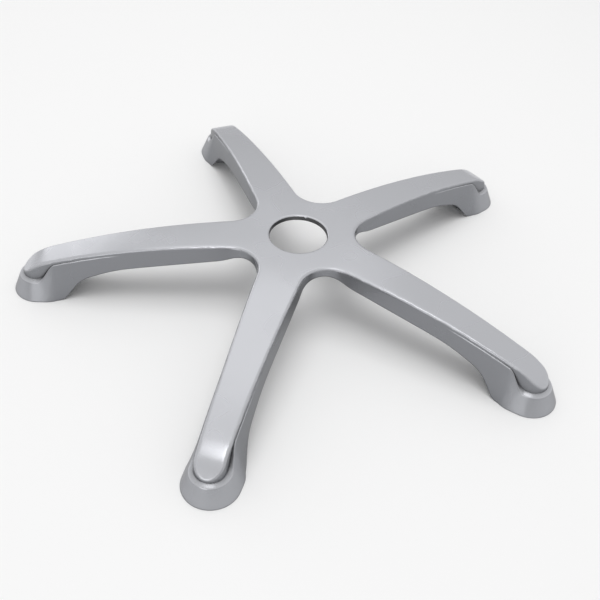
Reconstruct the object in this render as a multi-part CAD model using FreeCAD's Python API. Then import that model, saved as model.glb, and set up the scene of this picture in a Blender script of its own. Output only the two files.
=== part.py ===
import FreeCAD, Part
import math
import os

V = FreeCAD.Vector
UP = V(0, 0, 1)

# Star layout, in millimetres and degrees, from the hub top and the column axis
ARM_COUNT = 5
FRONT_ARM_DEG = -90.0
PITCH_DEG = 360.0 / ARM_COUNT
FOOT_R = 290.0
FLOOR_Z = -77.0

# Ridge on top of each arm, seen from above
NOSE_HALF = 12.4
ARM_TAPER_DEG = 3.1
ARM_DRAFT_DEG = 4.0
CROTCH_R = 32.0
TOP_EDGE_R = 3.5

# Side view of the top: flat hub, long falling arc, then the nose
HUB_FLAT_R = 55.0
TOP_FALL_DEG = 15.8
TOP_STRAIGHT = 1.75
NOSE_SETBACK = 2.0
NOSE_FALL_DEG = 42.0
NOSE_ARC_R = 60.0

# The long arc fills the room between the flat hub and the nose arc
TOP_FALL = math.radians(TOP_FALL_DEG)
NOSE_TURN = math.radians(NOSE_FALL_DEG - TOP_FALL_DEG)
NOSE_BEND_R = FOOT_R - NOSE_SETBACK
NOSE_ARC_START_R = NOSE_BEND_R - NOSE_ARC_R * math.tan(NOSE_TURN / 2.0) * math.cos(TOP_FALL)
TOP_ARC_RUN = (NOSE_ARC_START_R - TOP_STRAIGHT - HUB_FLAT_R) / (1.0 + math.cos(TOP_FALL))
TOP_ARC_R = TOP_ARC_RUN / math.tan(TOP_FALL / 2.0)
TOP_BEND_R = HUB_FLAT_R + TOP_ARC_RUN

# Lower edge of the flanges, in side view; the outer corners are set back from the foot axis
RIM_DEPTH = 9.5
RIM_R = 64.0
RIM_BLEND_R = 20.0
FLANGE_ROOT_R = 86.0
FLANGE_ROOT_Z = -18.5
FLANGE_ROOT_BLEND_R = 60.0
FLANGE_MID_SETBACK = 85.0
FLANGE_MID_Z = -37.5
FLANGE_MID_BLEND_R = 160.0
FLANGE_END_SETBACK = 49.0
FLANGE_END_Z = -51.0
FLANGE_END_BLEND_R = 40.0
FOOT_INNER_SETBACK = 28.0
FOOT_INNER_BLEND_R = 12.0
FLANGE_MID_R = FOOT_R - FLANGE_MID_SETBACK
FLANGE_END_R = FOOT_R - FLANGE_END_SETBACK
FOOT_INNER_R = FOOT_R - FOOT_INNER_SETBACK

# Flared foot round the ridge
FLARE_LENGTH = 140.0
FLARE_DIVE_LENGTH = 22.0
FLARE_SPREAD_LENGTH = 36.0
FLARE_SPANS = 4
HOLLOW_SPANS = 1
SHOULDER_DROP = 4.5
SHOULDER_IN = 0.3
SHOULDER_OUT = 1.2
SHOULDER_RUN = 8.5
SHOULDER_DEG = 5.0
SHOULDER_EDGE_R = 1.5
FLARE_DEG = 7.0
FOOT_TOP_Z = -56.5
FOOT_TOP_HALF = 20.5
FOOT_TOP_DEG = 30.0
FOOT_DEG = 23.0
FOOT_EDGE_R = 2.5
FLARE_START_R = FOOT_R - FLARE_LENGTH
FLARE_DIVE_R = FOOT_R - FLARE_DIVE_LENGTH
FLARE_SPREAD_R = FOOT_R - FLARE_SPREAD_LENGTH

# Column bore in the hub
BORE_R = 32.0
BORE_EDGE_R = 2.5

# Hollow underside: roof, walls, stiffening ribs and caster sockets
ROOF = 5.5
WALL = 4.0
RING_INNER_R = 46.0
RING_OUTER_R = 50.0
RING_BOTTOM_Z = -16.5
RIB = 3.5
RIB_RECESS = 3.0
CROSS_RIB_R = [125.0, 195.0]
CUP_R = 28.5
BOSS_R = 13.0
SOCKET_R = 5.5
SOCKET_DEPTH = 30.0

# Working room of the tools that cut and trim
BELOW = FLOOR_Z - ROOF
OVERRUN = 60.0


def rounded_edges(corners, place):
    """Edges of a closed outline, with an arc at each corner that has a radius."""
    count = len(corners)
    starts = []
    ends = []
    arcs = []
    for i, (a, b, radius) in enumerate(corners):
        here = V(a, b, 0)
        if radius <= 0:
            starts.append(here)
            ends.append(here)
            continue
        back = V(*corners[i - 1][:2], 0).sub(here).normalize()
        ahead = V(*corners[(i + 1) % count][:2], 0).sub(here).normalize()
        half = back.getAngle(ahead) / 2.0
        middle = back.add(ahead).normalize()
        run = radius / math.tan(half)
        first = here.add(back * run)
        last = here.add(ahead * run)
        crest = here.add(middle * (radius / math.sin(half) - radius))
        starts.append(first)
        ends.append(last)
        arcs.append((i, crest))
    crests = dict(arcs)
    edges = []
    for i in range(count):
        if i in crests:
            points = [place(p.x, p.y) for p in (starts[i], crests[i], ends[i])]
            edges.append(Part.Arc(*points).toShape())
        follow = (i + 1) % count
        if ends[i].distanceToPoint(starts[follow]) > 1e-6:
            line = Part.makeLine(place(ends[i].x, ends[i].y), place(starts[follow].x, starts[follow].y))
            edges.append(line)
    return edges


def side_view(a, b):
    return V(a, 0, b)


def turned_solid(corners):
    """Solid of revolution about the column axis from a side-view outline."""
    face = Part.Face(Part.Wire(rounded_edges(corners, side_view)))
    return face.revolve(V(0, 0, 0), UP, 360)


def ridge_half(x):
    """Half width of the ridge at the hub-top level, x from the column axis."""
    taper = math.radians(ARM_TAPER_DEG)
    return NOSE_HALF / math.cos(taper) + (FOOT_R - x) * math.tan(taper)


def top_z(x):
    """Height of the falling top of the arm, before the nose."""
    from_start = x - HUB_FLAT_R
    if from_start <= 0:
        return 0.0
    if from_start >= TOP_ARC_R * math.sin(TOP_FALL):
        return -(x - TOP_BEND_R) * math.tan(TOP_FALL)
    return math.sqrt(TOP_ARC_R ** 2 - from_start ** 2) - TOP_ARC_R


def star_outline(z, inset=0.0):
    """Plan outline of the drafted star at height z, moved inward by the inset."""
    grow = -z * math.tan(math.radians(ARM_DRAFT_DEG)) - inset
    taper = math.radians(ARM_TAPER_DEG)
    half_pitch = math.radians(PITCH_DEG / 2.0)
    nose = NOSE_HALF + grow
    crotch = CROTCH_R - grow
    side = FOOT_R * math.sin(taper) + nose
    centre = (side + crotch) / math.sin(half_pitch + taper)
    tangent = V(math.sin(taper), math.cos(taper), 0)
    nose_end = V(FOOT_R, 0, 0).add(tangent * nose)
    crotch_mid = V(centre * math.cos(half_pitch), centre * math.sin(half_pitch), 0)
    crotch_start = crotch_mid.sub(tangent * crotch)
    crotch_near = V(math.cos(half_pitch), math.sin(half_pitch), 0) * (centre - crotch)
    nose_begin = V(nose_end.x, -nose_end.y, 0)
    nose_tip = V(FOOT_R + nose, 0, 0)
    spin = FreeCAD.Rotation(UP, PITCH_DEG)
    crotch_end = spin.multVec(V(crotch_start.x, -crotch_start.y, 0))
    edges = []
    for k in range(ARM_COUNT):
        turn = FreeCAD.Placement(V(0, 0, z), FreeCAD.Rotation(UP, FRONT_ARM_DEG + k * PITCH_DEG))
        p = [turn.multVec(q) for q in (nose_begin, nose_tip, nose_end, crotch_start, crotch_near, crotch_end)]
        after = turn.multVec(spin.multVec(nose_begin))
        edges.append(Part.Arc(p[0], p[1], p[2]).toShape())
        edges.append(Part.makeLine(p[2], p[3]))
        edges.append(Part.Arc(p[3], p[4], p[5]).toShape())
        edges.append(Part.makeLine(p[5], after))
    return Part.Wire(edges)


def round_arms(shape):
    """The same shape on every arm."""
    copies = []
    for k in range(ARM_COUNT):
        copy = shape.copy()
        copy.rotate(V(0, 0, 0), UP, FRONT_ARM_DEG + k * PITCH_DEG)
        copies.append(copy)
    return copies


def ease(s):
    s = min(1.0, max(0.0, s))
    return s * s * (3.0 - 2.0 * s)


def flare_corners(x, wall, roof):
    """Section of the flare at x: low roof, shoulders (sharp in a hollow one), sides that pass the floor."""
    out = ease((x - FLARE_START_R) / (FLARE_DIVE_R - FLARE_START_R))
    dive = ease((x - FLARE_DIVE_R) / (FOOT_R - FLARE_DIVE_R))
    spread = ease((x - FLARE_SPREAD_R) / (FOOT_R - FLARE_SPREAD_R))
    draft = math.tan(math.radians(ARM_DRAFT_DEG))
    arm_z = top_z(x) - SHOULDER_DROP
    arm_y = ridge_half(x) - draft * arm_z - SHOULDER_IN + (SHOULDER_IN + SHOULDER_OUT) * out
    z = arm_z + (FOOT_TOP_Z - arm_z) * dive
    y = arm_y + (FOOT_TOP_HALF - arm_y) * dive
    slope_deg = ARM_DRAFT_DEG + (FLARE_DEG - ARM_DRAFT_DEG) * out + (FOOT_DEG - FLARE_DEG) * spread
    slope = math.radians(slope_deg)
    pitch = math.radians(SHOULDER_DEG + (FOOT_TOP_DEG - SHOULDER_DEG) * dive)
    inner_z = z + SHOULDER_RUN * math.tan(pitch) - roof
    foot_y = y + (z - BELOW) * math.tan(slope) - wall
    z -= roof
    y += roof * math.tan(slope) - wall
    edge = 0 if wall else SHOULDER_EDGE_R + (FOOT_EDGE_R - SHOULDER_EDGE_R) * dive
    right = [(foot_y, BELOW, 0), (y, z, edge), (y - SHOULDER_RUN, inner_z, 0)]
    return right + [(-a, b, radius) for a, b, radius in reversed(right)]


def flare_loft(stations, wall, roof):
    """Flare through sections at the given distances from the column axis, straight between them if hollow."""
    wires = []
    for x in stations:
        def at(a, b, x=x):
            return V(x, a, b)

        wires.append(Part.Wire(rounded_edges(flare_corners(x, wall, roof), at)))
    return Part.makeLoft(wires, True, wall > 0)


def flare(spans, wall=0.0, roof=0.0):
    """Flare along the arm, its dive at the foot, and half a turn about the foot axis."""
    along = [FLARE_START_R + (FLARE_DIVE_R - FLARE_START_R) * i / spans for i in range(spans + 1)]
    dive = [FLARE_DIVE_R + (FOOT_R - FLARE_DIVE_R) * i / spans for i in range(spans + 1)]
    corners = flare_corners(FOOT_R, wall, roof)
    half = [(0, BELOW, 0)] + corners[:3] + [(0, corners[2][1], 0)]

    def at_foot(a, b):
        return V(FOOT_R, a, b)

    face = Part.Face(Part.Wire(rounded_edges(half, at_foot)))
    toe = face.revolve(V(FOOT_R, 0, 0), V(0, 0, -1), 180)
    return flare_loft(along, wall, roof).fuse([flare_loft(dive, wall, roof), toe])


def dome_corners():
    """Side view between the top of the arms and the lower edge of the flanges."""
    nose_z = -(NOSE_BEND_R - TOP_BEND_R) * math.tan(TOP_FALL)
    nose_foot_r = NOSE_BEND_R + (nose_z - FLOOR_Z) / math.tan(math.radians(NOSE_FALL_DEG))
    return [
        (0, 0, 0),
        (TOP_BEND_R, 0, TOP_ARC_R),
        (NOSE_BEND_R, nose_z, NOSE_ARC_R),
        (nose_foot_r, FLOOR_Z, 0),
        (FOOT_INNER_R, FLOOR_Z, FOOT_INNER_BLEND_R),
        (FLANGE_END_R, FLANGE_END_Z, FLANGE_END_BLEND_R),
        (FLANGE_MID_R, FLANGE_MID_Z, FLANGE_MID_BLEND_R),
        (FLANGE_ROOT_R, FLANGE_ROOT_Z, FLANGE_ROOT_BLEND_R),
        (RIM_R, -RIM_DEPTH, RIM_BLEND_R),
        (0, -RIM_DEPTH, 0),
    ]


def top_edges(shape):
    """Edges where a top face meets an upright side."""
    found = []
    for edge in shape.Edges:
        levels = []
        for face in shape.ancestorsOfType(edge, Part.Face):
            point = edge.valueAt((edge.FirstParameter + edge.LastParameter) / 2.0)
            u, v = face.Surface.parameter(point)
            levels.append(face.normalAt(u, v).z)
        if len(levels) == 2 and max(levels) > 0.3 and abs(min(levels)) < 0.2:
            found.append(edge)
    return found


def lower_z(x):
    """Height of the flange edge at x, between the corners of its side view."""
    line = [
        (RIM_R, -RIM_DEPTH),
        (FLANGE_ROOT_R, FLANGE_ROOT_Z),
        (FLANGE_MID_R, FLANGE_MID_Z),
        (FLANGE_END_R, FLANGE_END_Z),
        (FOOT_INNER_R, FLOOR_Z),
    ]
    for (x0, z0), (x1, z1) in zip(line, line[1:]):
        if x <= x1:
            return z0 + (z1 - z0) * (x - x0) / (x1 - x0)
    return FLOOR_Z


def roof_corners():
    """Side view of the space below the roof."""
    lowered = [(r, z - ROOF, radius) for r, z, radius in dome_corners()[:4]]
    return lowered + [(0, FLOOR_Z - ROOF, 0)]


def stiffeners():
    """What stays standing in the hollow: ring, long rib, cross ribs, foot cup and caster boss."""
    ring_height = -RING_BOTTOM_Z - ROOF / 2.0
    ring = Part.makeCylinder(RING_OUTER_R, ring_height, V(0, 0, RING_BOTTOM_Z))
    ring = ring.cut(Part.makeCylinder(RING_INNER_R, ring_height, V(0, 0, RING_BOTTOM_Z)))
    middle_r = (RING_INNER_R + RING_OUTER_R) / 2.0
    side = [
        (middle_r, 0, 0),
        (FOOT_R, 0, 0),
        (FOOT_R, FLANGE_END_Z, 0),
        (FLANGE_END_R, FLANGE_END_Z + RIB_RECESS, 0),
        (FLANGE_MID_R, FLANGE_MID_Z + RIB_RECESS, 0),
        (FLANGE_ROOT_R, FLANGE_ROOT_Z + RIB_RECESS, 0),
        (middle_r, -RIM_DEPTH, 0),
    ]
    face = Part.Face(Part.Wire(rounded_edges(side, side_view)))
    long_rib = face.extrude(V(0, RIB, 0))
    long_rib.translate(V(0, -RIB / 2.0, 0))
    pieces = [long_rib]
    for r in CROSS_RIB_R:
        bottom = lower_z(r) + RIB_RECESS
        pieces.append(Part.makeBox(RIB, 2 * FOOT_TOP_HALF, -bottom, V(r - RIB / 2.0, -FOOT_TOP_HALF, bottom)))
    cup = Part.makeCylinder(CUP_R, -FLOOR_Z, V(FOOT_R, 0, FLOOR_Z))
    pieces.append(cup.cut(Part.makeCylinder(CUP_R - WALL, -FLOOR_Z, V(FOOT_R, 0, FLOOR_Z))))
    pieces.append(Part.makeCylinder(BOSS_R, -FLOOR_Z, V(FOOT_R, 0, FLOOR_Z)))
    per_arm = pieces[0].fuse(pieces[1:])
    return ring, round_arms(per_arm)


def build():
    dome = turned_solid(dome_corners())
    star = Part.makeLoft([star_outline(BELOW), star_outline(ROOF)], True, True)
    ridge = star.common(dome).Solids[0]
    ridge = ridge.makeFillet(TOP_EDGE_R, top_edges(ridge))
    lower_line = dome_corners()[4:]
    far_r = FOOT_R + OVERRUN
    above_edge = turned_solid([(0, ROOF, 0), (far_r, ROOF, 0), (far_r, FLOOR_Z, 0)] + lower_line)
    feet = [foot.common(above_edge) for foot in round_arms(flare(FLARE_SPANS))]
    ring, per_arm = stiffeners()
    body = ridge.fuse(feet + [ring])
    hollow_star = Part.makeLoft([star_outline(BELOW, WALL), star_outline(ROOF, WALL)], True, True)
    hollow = hollow_star.common(turned_solid(roof_corners()))
    hollow = hollow.fuse(round_arms(flare(HOLLOW_SPANS, WALL, ROOF)))
    pockets = hollow.cut([ring] + per_arm)
    body = body.cut(pockets)
    body = body.cut(Part.makeCylinder(BORE_R, -2 * BELOW, V(0, 0, BELOW)))
    socket = Part.makeCylinder(SOCKET_R, SOCKET_DEPTH, V(FOOT_R, 0, FLOOR_Z))
    body = body.cut(round_arms(socket))
    level = [e for e in body.Edges if abs(e.BoundBox.ZMax) < 1e-6]
    rim = [e for e in level if abs(e.BoundBox.XLength - 2 * BORE_R) < 1e-3]
    return body.Solids[0].makeFillet(BORE_EDGE_R, rim).Solids[0]


os.makedirs("parts", exist_ok=True)
build().exportStep("parts/star_base.step")
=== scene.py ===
import math

import bmesh
import bpy
from mathutils import Matrix, Vector
from mathutils.bvhtree import BVHTree


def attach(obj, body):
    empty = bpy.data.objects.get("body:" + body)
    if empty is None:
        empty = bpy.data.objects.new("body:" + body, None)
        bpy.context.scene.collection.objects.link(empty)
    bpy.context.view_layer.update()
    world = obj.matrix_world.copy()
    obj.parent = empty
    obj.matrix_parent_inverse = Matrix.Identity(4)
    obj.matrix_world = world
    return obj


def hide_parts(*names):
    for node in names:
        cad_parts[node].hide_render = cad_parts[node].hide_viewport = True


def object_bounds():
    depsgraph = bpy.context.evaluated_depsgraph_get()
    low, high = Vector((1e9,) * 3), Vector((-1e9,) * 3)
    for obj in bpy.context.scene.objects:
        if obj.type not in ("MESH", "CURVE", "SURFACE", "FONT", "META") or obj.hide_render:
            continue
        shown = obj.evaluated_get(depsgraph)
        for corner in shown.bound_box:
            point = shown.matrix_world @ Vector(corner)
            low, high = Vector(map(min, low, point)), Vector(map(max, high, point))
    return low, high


# Camera, fitted to the photograph: degrees, metres for the distance, millimetres for the sensor, else pixels
IMAGE_SIDE = 600
HUB_IN_IMAGE = (298.4, 233.8)
FOCAL_LENGTH = 898.0
CAMERA_ELEVATION = 38.72
CAMERA_AZIMUTH = 13.63
CAMERA_ROLL = 3.15
CAMERA_DISTANCE = 0.993
SENSOR = 36.0

# Casting mesh: the gap that is merged, and the outward and inward turns past which an edge stays sharp
MERGE_GAP = 2e-6
CORNER_DEG = 33.0
CREASE_DEG = 15.0

# Skins, numbered in the order of the casting's materials
POLISHED = 0
RAW = 1
BORED = 2

# Choice of skin: rise of the test rays, their start off the face, and the outer limit of the bored wall
SKY_LIFTS = (1.2, 4.0, 20.0)
RAY_START = 2e-4
BORE_REACH = 0.0325

# Metal colours; the colour of the upright sides, the groove colour and the two bore colours are painted
# shade
POLISHED_TOP = (0.77, 0.78, 0.82, 1.0)
SIDE_PAINTED_SHADE = (0.260, 0.266, 0.283, 1.0)
GROOVE_PAINTED_SHADE = (0.03, 0.03, 0.031, 1.0)
RAW_METAL = (0.395, 0.40, 0.42, 1.0)
RAW_STAIN = (0.236, 0.24, 0.254, 1.0)
BORE_PAINTED_SHADE = (0.16, 0.16, 0.165, 1.0)
BORE_STAINED_SHADE = (0.07, 0.07, 0.072, 1.0)
GRAZING_TINT = (0.72, 0.72, 0.72, 1.0)

# Metal roughness, from the smoothest to the roughest place
POLISHED_ROUGHNESS = (0.23, 0.31)
RAW_ROUGHNESS = (0.50, 0.66)
BORE_ROUGHNESS = (0.30, 0.42)

# Ranges over which one tone passes into another: upward share of the normal for the painted side shade, open
# room for the painted groove shade, and noise levels
WHOLE = (0.0, 1.0)
SIDE_TO_TOP = (0.15, 0.85)
GROOVE_TO_OPEN = (0.62, 1.0)
CLEAN_TO_MARKED = (0.38, 0.66)
SMOOTH_TO_GRAINY = (0.3, 0.9)

# Wear of the edges and reach of the painted groove shade in metres, rays spent on each, and share of grain
# in the height
EDGE_WEAR = 0.002
GROOVE_SHADE_REACH = 0.009
SURFACE_RAYS = 8
GRAIN_SHARE = 0.35

# Stage
FLOOR_SIDE = 12.0
FLOOR_DROP = 2e-4
FLOOR_COLOUR = (0.90, 0.90, 0.90, 1.0)
FLOOR_ROUGHNESS = 0.9
SKY_COLOUR = (1.0, 1.0, 1.0, 1.0)
SKY_STRENGTH = 0.60

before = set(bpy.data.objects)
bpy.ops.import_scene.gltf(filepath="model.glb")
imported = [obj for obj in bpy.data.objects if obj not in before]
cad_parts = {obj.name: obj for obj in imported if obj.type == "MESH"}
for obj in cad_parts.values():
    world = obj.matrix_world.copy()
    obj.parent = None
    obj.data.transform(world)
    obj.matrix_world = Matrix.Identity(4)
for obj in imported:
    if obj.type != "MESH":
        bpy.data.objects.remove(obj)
cad_low, cad_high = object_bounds()


def link(tree, source, output, target, name):
    tree.links.new(source.outputs[output], target.inputs[name])


def noise(group, given, scale_name, detail, roughness):
    """Noise at the given place; its scale is the group's input of that name."""
    node = group.nodes.new("ShaderNodeTexNoise")
    node.inputs["Detail"].default_value = detail
    node.inputs["Roughness"].default_value = roughness
    link(group, given, "Vector", node, "Vector")
    link(group, given, scale_name, node, "Scale")
    return node


def spread(tree, source, output, found, wanted):
    """The values in the found range become those in the wanted range, with soft ends."""
    node = tree.nodes.new("ShaderNodeMapRange")
    node.interpolation_type = "SMOOTHSTEP"
    node.inputs["From Min"].default_value = found[0]
    node.inputs["From Max"].default_value = found[1]
    node.inputs["To Min"].default_value = wanted[0]
    node.inputs["To Max"].default_value = wanted[1]
    link(tree, source, output, node, "Value")
    return node


def toned(tree, mask, output, first):
    """Colour that leaves the first tone as the mask rises; the second tone is for the caller to give."""
    node = tree.nodes.new("ShaderNodeMix")
    node.data_type = "RGBA"
    node.inputs["A"].default_value = first
    link(tree, mask, output, node, "Factor")
    return node


def cast_grain_group():
    """Height of fine casting grain over slow waves, and a slow mask of handling marks."""
    group = bpy.data.node_groups.new("cast_grain", "ShaderNodeTree")
    group.interface.new_socket("Vector", in_out="INPUT", socket_type="NodeSocketVector")
    group.interface.new_socket("Grain Scale", in_out="INPUT", socket_type="NodeSocketFloat")
    group.interface.new_socket("Wave Scale", in_out="INPUT", socket_type="NodeSocketFloat")
    group.interface.new_socket("Height", in_out="OUTPUT", socket_type="NodeSocketFloat")
    group.interface.new_socket("Marks", in_out="OUTPUT", socket_type="NodeSocketFloat")
    given = group.nodes.new("NodeGroupInput")
    out = group.nodes.new("NodeGroupOutput")
    grain = noise(group, given, "Grain Scale", detail=3.0, roughness=0.6)
    waves = noise(group, given, "Wave Scale", detail=2.0, roughness=0.5)
    height = group.nodes.new("ShaderNodeMath")
    height.operation = "MULTIPLY_ADD"
    link(group, grain, "Fac", height, 0)
    height.inputs[1].default_value = GRAIN_SHARE
    link(group, waves, "Fac", height, 2)
    marks = spread(group, waves, "Fac", CLEAN_TO_MARKED, WHOLE)
    link(group, height, "Value", out, "Height")
    link(group, marks, "Result", out, "Marks")
    return group


def metal(name, grain_group, grain_scale, wave_scale, bump_strength, bump_distance):
    """A metal with worn edges and cast grain; returns the material, its tree, shader and grain nodes."""
    material = bpy.data.materials.new(name)
    material.use_nodes = True
    tree = material.node_tree
    shader = tree.nodes["Principled BSDF"]
    shader.inputs["Metallic"].default_value = 1.0
    shader.inputs["Specular Tint"].default_value = GRAZING_TINT
    place = tree.nodes.new("ShaderNodeTexCoord")
    grain = tree.nodes.new("ShaderNodeGroup")
    grain.node_tree = grain_group
    grain.inputs["Grain Scale"].default_value = grain_scale
    grain.inputs["Wave Scale"].default_value = wave_scale
    link(tree, place, "Object", grain, "Vector")
    worn_edges = tree.nodes.new("ShaderNodeBevel")
    worn_edges.samples = SURFACE_RAYS
    worn_edges.inputs["Radius"].default_value = EDGE_WEAR
    bump = tree.nodes.new("ShaderNodeBump")
    bump.inputs["Strength"].default_value = bump_strength
    bump.inputs["Distance"].default_value = bump_distance
    link(tree, worn_edges, "Normal", bump, "Normal")
    link(tree, grain, "Height", bump, "Height")
    link(tree, bump, "Normal", shader, "Normal")
    return material, tree, shader, grain


def polished_skin(grain_group):
    """Polished outer skin: bright on the tops, with painted shade that darkens the upright sides and
    blackens grooves and inner corners.
    """
    material, tree, shader, grain = metal(
        "polished_skin",
        grain_group,
        grain_scale=900.0,
        wave_scale=14.0,
        bump_strength=0.12,
        bump_distance=0.0004,
    )
    facing = tree.nodes.new("ShaderNodeNewGeometry")
    parts = tree.nodes.new("ShaderNodeSeparateXYZ")
    link(tree, facing, "Normal", parts, "Vector")
    # Painted shade: the colour darkens from the top tone to the side tone as the face turns upright
    upward = spread(tree, parts, "Z", SIDE_TO_TOP, WHOLE)
    tone = toned(tree, upward, "Result", SIDE_PAINTED_SHADE)
    tone.inputs["B"].default_value = POLISHED_TOP
    # Painted shade: grooves and inner corners darkened where the casting closes in around them
    room = tree.nodes.new("ShaderNodeAmbientOcclusion")
    room.only_local = True
    room.samples = SURFACE_RAYS
    room.inputs["Distance"].default_value = GROOVE_SHADE_REACH
    groove_shade_mask = spread(tree, room, "AO", GROOVE_TO_OPEN, WHOLE)
    groove_shaded_tone = toned(tree, groove_shade_mask, "Result", GROOVE_PAINTED_SHADE)
    link(tree, tone, "Result", groove_shaded_tone, "B")
    link(tree, groove_shaded_tone, "Result", shader, "Base Color")
    rough = spread(tree, grain, "Marks", WHOLE, POLISHED_ROUGHNESS)
    link(tree, rough, "Result", shader, "Roughness")
    return material


def stained_metal(name, grain_group, clean, stain, roughness):
    """Metal left as it was cast or bored: matt, grainy and stained; the dark colours given for the bored
    wall are painted shade.
    """
    material, tree, shader, grain = metal(
        name,
        grain_group,
        grain_scale=420.0,
        wave_scale=22.0,
        bump_strength=0.35,
        bump_distance=0.0008,
    )
    tone = toned(tree, grain, "Marks", clean)
    tone.inputs["B"].default_value = stain
    link(tree, tone, "Result", shader, "Base Color")
    rough = spread(tree, grain, "Height", SMOOTH_TO_GRAINY, roughness)
    link(tree, rough, "Result", shader, "Roughness")
    return material


def sees_the_sky(tree, face):
    """True where a rising ray from the face leaves the casting."""
    start = face.calc_center_median() + face.normal * RAY_START
    for lift in SKY_LIFTS:
        way = (face.normal + Vector((0, 0, lift))).normalized()
        if tree.ray_cast(start, way)[0] is None:
            return True
    return False


def skin_of(tree, face):
    """The bored wall is told by its distance from the column axis, the raw hollow by the roof over it."""
    if face.calc_center_median().xy.length < BORE_REACH:
        return BORED
    return POLISHED if sees_the_sky(tree, face) else RAW


def is_sharp(edge):
    """True at a corner or crease; the facets of the rounded edges turn less than a real corner does."""
    turn = math.degrees(edge.calc_face_angle_signed(0.0))
    return turn > CORNER_DEG or turn < -CREASE_DEG


def casting():
    """The base as one smooth piece: the CAD node's triangles merged, with corners and creases kept sharp."""
    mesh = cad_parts["star_base"].data.copy()
    mesh.name = "star_base_casting"
    mesh.materials.clear()
    grain_group = cast_grain_group()
    mesh.materials.append(polished_skin(grain_group))
    mesh.materials.append(stained_metal("raw_hollow", grain_group, RAW_METAL, RAW_STAIN, RAW_ROUGHNESS))
    # The bored wall is painted dark as shade, with random stain on it
    mesh.materials.append(stained_metal("bored_wall_painted_shade", grain_group, BORE_PAINTED_SHADE, BORE_STAINED_SHADE, BORE_ROUGHNESS))
    bm = bmesh.new()
    bm.from_mesh(mesh)
    bmesh.ops.remove_doubles(bm, verts=bm.verts, dist=MERGE_GAP)
    tree = BVHTree.FromBMesh(bm)
    for face in bm.faces:
        face.smooth = True
        face.material_index = skin_of(tree, face)
    for edge in bm.edges:
        edge.smooth = not is_sharp(edge)
    bm.to_mesh(mesh)
    bm.free()
    piece = bpy.data.objects.new("star_base_casting", mesh)
    bpy.context.scene.collection.objects.link(piece)
    even = piece.modifiers.new("even_normals", "WEIGHTED_NORMAL")
    even.mode = "FACE_AREA_WITH_ANGLE"
    even.keep_sharp = True
    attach(piece, "root")
    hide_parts("star_base")


def pale_floor_material():
    """Matt and pale from above, clear from below, so that the underside can be looked at."""
    material = bpy.data.materials.new("pale_floor")
    material.use_nodes = True
    tree = material.node_tree
    shader = tree.nodes["Principled BSDF"]
    shader.inputs["Base Color"].default_value = FLOOR_COLOUR
    shader.inputs["Roughness"].default_value = FLOOR_ROUGHNESS
    side = tree.nodes.new("ShaderNodeNewGeometry")
    clear = tree.nodes.new("ShaderNodeBsdfTransparent")
    either = tree.nodes.new("ShaderNodeMixShader")
    link(tree, side, "Backfacing", either, "Fac")
    link(tree, shader, "BSDF", either, 1)
    link(tree, clear, "BSDF", either, 2)
    link(tree, either, "Shader", tree.nodes["Material Output"], "Surface")
    return material


def plain_floor():
    mesh = bpy.data.meshes.new("floor")
    bm = bmesh.new()
    bmesh.ops.create_grid(bm, x_segments=1, y_segments=1, size=FLOOR_SIDE / 2)
    bmesh.ops.translate(bm, verts=bm.verts, vec=(0, 0, cad_low.z - FLOOR_DROP))
    bm.to_mesh(mesh)
    bm.free()
    mesh.materials.append(pale_floor_material())
    floor = bpy.data.objects.new("floor", mesh)
    bpy.context.scene.collection.objects.link(floor)


def soft_lamp(name, place, side, power, in_metal=True):
    """Square lamp that faces the hub; it shows as a reflection only where it is in the metal."""
    data = bpy.data.lights.new(name, "AREA")
    data.shape = "SQUARE"
    data.size = side
    data.energy = power
    lamp = bpy.data.objects.new(name, data)
    lamp.location = place
    lamp.visible_glossy = in_metal
    lamp.rotation_euler = (-Vector(place)).to_track_quat("-Z", "Y").to_euler()
    bpy.context.scene.collection.objects.link(lamp)


def studio_light():
    soft_lamp("floor_lamp", place=(0.0, 0.2, 3.0), side=2.4, power=41.0, in_metal=False)
    soft_lamp("back_lamp", place=(-0.5, 1.05, 2.2), side=1.7, power=2.2)
    soft_lamp("edge_lamp", place=(0.0, -0.8, 2.2), side=1.1, power=3.6)
    soft_lamp("front_lamp", place=(-0.4, -2.2, 0.45), side=1.0, power=2.5)
    soft_lamp("nose_lamp", place=(-1.6, 1.2, 0.7), side=0.7, power=0.8)
    world = bpy.data.worlds.new("studio")
    world.use_nodes = True
    sky = world.node_tree.nodes["Background"]
    sky.inputs["Color"].default_value = SKY_COLOUR
    sky.inputs["Strength"].default_value = SKY_STRENGTH
    bpy.context.scene.world = world


def photo_camera():
    """Looks at the hub top, then turns until the hub lies where the photograph has it."""
    elevation = math.radians(CAMERA_ELEVATION)
    azimuth = math.radians(CAMERA_AZIMUTH)
    back = Vector((
        math.sin(azimuth) * math.cos(elevation),
        -math.cos(azimuth) * math.cos(elevation),
        math.sin(elevation),
    ))
    look = (-back).to_track_quat("-Z", "Y").to_matrix().to_4x4()
    roll = Matrix.Rotation(math.radians(CAMERA_ROLL), 4, "Z")
    pitch = Matrix.Rotation(math.atan((HUB_IN_IMAGE[1] - IMAGE_SIDE / 2) / FOCAL_LENGTH), 4, "X")
    yaw = Matrix.Rotation(math.atan((HUB_IN_IMAGE[0] - IMAGE_SIDE / 2) / FOCAL_LENGTH), 4, "Y")
    data = bpy.data.cameras.new("photo_camera")
    data.sensor_width = SENSOR
    data.lens = FOCAL_LENGTH / IMAGE_SIDE * SENSOR
    camera = bpy.data.objects.new("photo_camera", data)
    camera.matrix_world = Matrix.Translation(back * CAMERA_DISTANCE) @ look @ roll @ pitch @ yaw
    bpy.context.scene.collection.objects.link(camera)
    bpy.context.scene.camera = camera


bpy.context.scene.view_settings.view_transform = "Standard"
casting()
plain_floor()
studio_light()
photo_camera()
